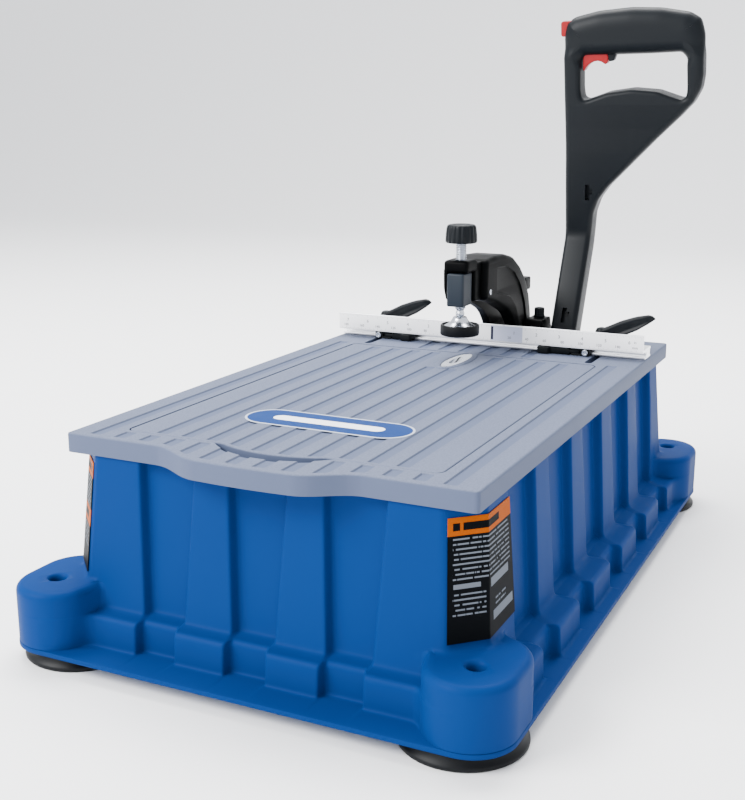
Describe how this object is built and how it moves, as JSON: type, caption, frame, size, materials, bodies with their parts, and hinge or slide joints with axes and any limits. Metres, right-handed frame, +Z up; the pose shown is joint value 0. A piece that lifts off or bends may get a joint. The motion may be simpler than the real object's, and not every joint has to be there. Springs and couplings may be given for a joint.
{
  "type": "pocket hole machine",
  "caption": "Benchtop pocket-hole boring machine: moulded base on rubber feet, ribbed lift-lid table, sliding fence, hold-down clamp and D-grip feed lever.",
  "frame": {"origin": "floor level under the middle of the object's bounding box at rest", "axes": "+Y from the operator side to the fence and lever, +X to the operator's right, +Z up"},
  "size_m": [0.44, 0.7078, 0.5524],
  "materials": {
    "tyre_rubber": "matte",
    "zinc": "bright plated",
    "steel": "plain",
    "aluminium": "anodised",
    "black_plastic": "satin",
    "black_metal": "satin",
    "red_plastic": "satin",
    "badge": "gloss film",
    "label": "gloss film",
    "blue_shell": "satin",
    "table_grey": "fine texture"
  },
  "bodies": {
    "base": {"base_shell": "blue_shell", "foot_fl": "tyre_rubber", "foot_fr": "tyre_rubber", "foot_rl": "tyre_rubber", "foot_rr": "tyre_rubber", "foot_screw_fl": "zinc", "foot_screw_fr": "zinc", "foot_screw_rl": "zinc", "foot_screw_rr": "zinc", "table_top": "table_grey", "hinge_pin": "zinc", "pivot_block": "black_metal", "pivot_bolt": "black_metal", "pivot_plate_l": "steel", "pivot_plate_r": "steel", "rod_bracket_front": "steel", "rod_bracket_rear": "steel", "guide_rod_l": "zinc", "guide_rod_r": "zinc", "cord_gland": "black_plastic", "caution_label_l": "label", "caution_label_r": "label"},
    "lid": {"table_lid": "table_grey", "drill_guide": "zinc", "guide_block": "black_metal", "lid_badge": "badge"},
    "fence": {"fence_rail": "aluminium", "fence_rule": "aluminium", "fence_stud_l": "zinc", "fence_stud_r": "zinc"},
    "lever_l": {"fence_lever_l": "black_plastic"},
    "lever_r": {"fence_lever_r": "black_plastic"},
    "stop_l": {"stop_block_l": "black_plastic", "stop_screw_l": "zinc"},
    "stop_r": {"stop_block_r": "black_plastic", "stop_screw_r": "zinc"},
    "swing_l": {"stop_arm_l": "black_plastic"},
    "swing_r": {"stop_arm_r": "black_plastic"},
    "arm": {"clamp_arm": "black_metal", "clamp_block": "black_metal", "arm_screw": "zinc"},
    "pad": {"pad_rubber": "tyre_rubber", "pad_cup": "zinc"},
    "spindle": {"clamp_spindle": "zinc", "clamp_knob": "black_plastic"},
    "feed_lever": {"handle_front": "black_plastic", "handle_back": "black_plastic", "pivot_shaft": "steel"},
    "trigger_body": {"trigger": "red_plastic"},
    "button_body": {"lock_button": "red_plastic"},
    "carriage_body": {"carriage": "black_metal", "motor_body": "black_metal", "gearcase": "aluminium"},
    "bit_body": {"chuck": "steel", "drill_bit": "zinc", "depth_collar": "steel"}
  },
  "joints": [
    {"name": "lid_lift", "type": "hinge", "parent": "base", "child": "lid", "pos_m": [0, 0.13912, 0.1838], "axis": [1, 0, 0], "range_deg": [-13, 0]},
    {"name": "fence_slide", "type": "slide", "parent": "base", "child": "fence", "axis": [0, -1, 0], "range_m": [0, 0.04]},
    {"name": "fence_lever_l_turn", "type": "hinge", "parent": "fence", "child": "lever_l", "pos_m": [-0.1277, 0.20212, 0.1983], "axis": [0, 0, 1], "range_deg": [0, 80]},
    {"name": "fence_lever_r_turn", "type": "hinge", "parent": "fence", "child": "lever_r", "pos_m": [0.1277, 0.20212, 0.1983], "axis": [0, 0, 1], "range_deg": [0, 80]},
    {"name": "stop_l_slide", "type": "slide", "parent": "fence", "child": "stop_l", "axis": [1, 0, 0], "range_m": [-0.04, 0.03]},
    {"name": "stop_r_slide", "type": "slide", "parent": "fence", "child": "stop_r", "axis": [1, 0, 0], "range_m": [-0.03, 0.05]},
    {"name": "stop_l_swing", "type": "hinge", "parent": "stop_l", "child": "swing_l", "pos_m": [-0.1185, 0.18593, 0.191], "axis": [0, 0, -1], "range_deg": [0, 90]},
    {"name": "stop_r_swing", "type": "hinge", "parent": "stop_r", "child": "swing_r", "pos_m": [0.1065, 0.18593, 0.191], "axis": [0, 0, 1], "range_deg": [0, 90]},
    {"name": "lever_pull", "type": "hinge", "parent": "base", "child": "feed_lever", "pos_m": [0, 0.27013, 0.15], "axis": [1, 0, 0], "range_deg": [0, 50], "stiffness_Nm_per_rad": 3, "springref_deg": -22.92},
    {"name": "arm_drop", "type": "hinge", "parent": "base", "child": "arm", "pos_m": [0, 0.27013, 0.15], "axis": [1, 0, 0], "range_deg": [0, 2]},
    {"name": "feed", "type": "slide", "parent": "base", "child": "carriage_body", "axis": [0, 0.9659, 0.2588], "range_m": [0, 0.064]},
    {"name": "bit_spin", "type": "hinge", "parent": "carriage_body", "child": "bit_body", "pos_m": [0, 0.05523, 0.17386], "axis": [0, 0.9659, 0.2588], "continuous": true},
    {"name": "pad_lift", "type": "slide", "parent": "arm", "child": "pad", "axis": [0, 0, 1], "range_m": [-0.01, 0.01]},
    {"name": "spindle_turn", "type": "hinge", "parent": "pad", "child": "spindle", "pos_m": [0, 0.11113, 0.213], "axis": [0, 0, 1], "range_deg": [-1800, 1800]},
    {"name": "trigger_squeeze", "type": "slide", "parent": "feed_lever", "child": "trigger_body", "axis": [0, -0.1392, 0.9903], "range_m": [0, 0.0045], "stiffness_N_per_m": 500, "springref_m": -0.002},
    {"name": "lock_press", "type": "slide", "parent": "feed_lever", "child": "button_body", "axis": [1, 0, 0], "range_m": [0, 0.004], "stiffness_N_per_m": 400, "springref_m": -0.002}
  ],
  "couplings": [
    {"joint": "arm_drop", "follows": "lever_pull", "ratio": 0.04},
    {"joint": "feed", "follows": "lever_pull", "m_per_rad": 0.0733},
    {"joint": "spindle_turn", "follows": "pad_lift", "rad_per_m": 3141.6}
  ]
}
